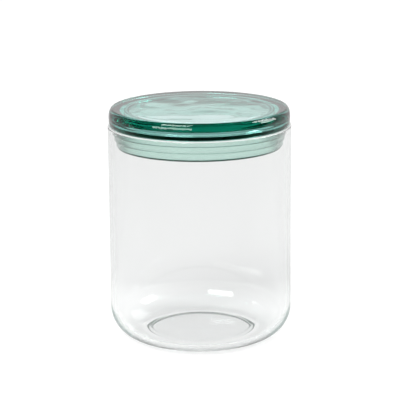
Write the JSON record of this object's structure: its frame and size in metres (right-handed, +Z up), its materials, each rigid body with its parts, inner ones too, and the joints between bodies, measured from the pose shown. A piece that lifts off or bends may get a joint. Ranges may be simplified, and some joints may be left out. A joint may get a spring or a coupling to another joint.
{
  "type": "storage jar",
  "caption": "Round clear-glass storage jar with a rounded foot, a thick green glass lid and a ribbed silicone seal under it.",
  "frame": {"origin": "middle of the foot ring, on the surface that the jar stands on", "axes": "+Z up along the jar's axis of revolution; X and Y are interchangeable"},
  "size_m": [0.1, 0.1, 0.1279],
  "materials": {
    "clear_glass": "clear, smooth, fire-polished",
    "green_glass": "glossy, tinted through, slightly wavy from pressing",
    "silicone": "soft satin, translucent white"
  },
  "bodies": {
    "jar": {"jar_body": "clear_glass"},
    "seal": {"seal_ring": "silicone"},
    "lid": {"glass_lid": "green_glass"}
  },
  "joints": [
    {"name": "lid_lift", "type": "slide", "parent": "jar", "child": "seal", "axis": [0, 0, 1], "range_m": [0, 0.06]},
    {"name": "lid_turn", "type": "hinge", "parent": "seal", "child": "lid", "pos_m": [0, 0, 0.1185], "axis": [0, 0, 1], "continuous": true}
  ]
}
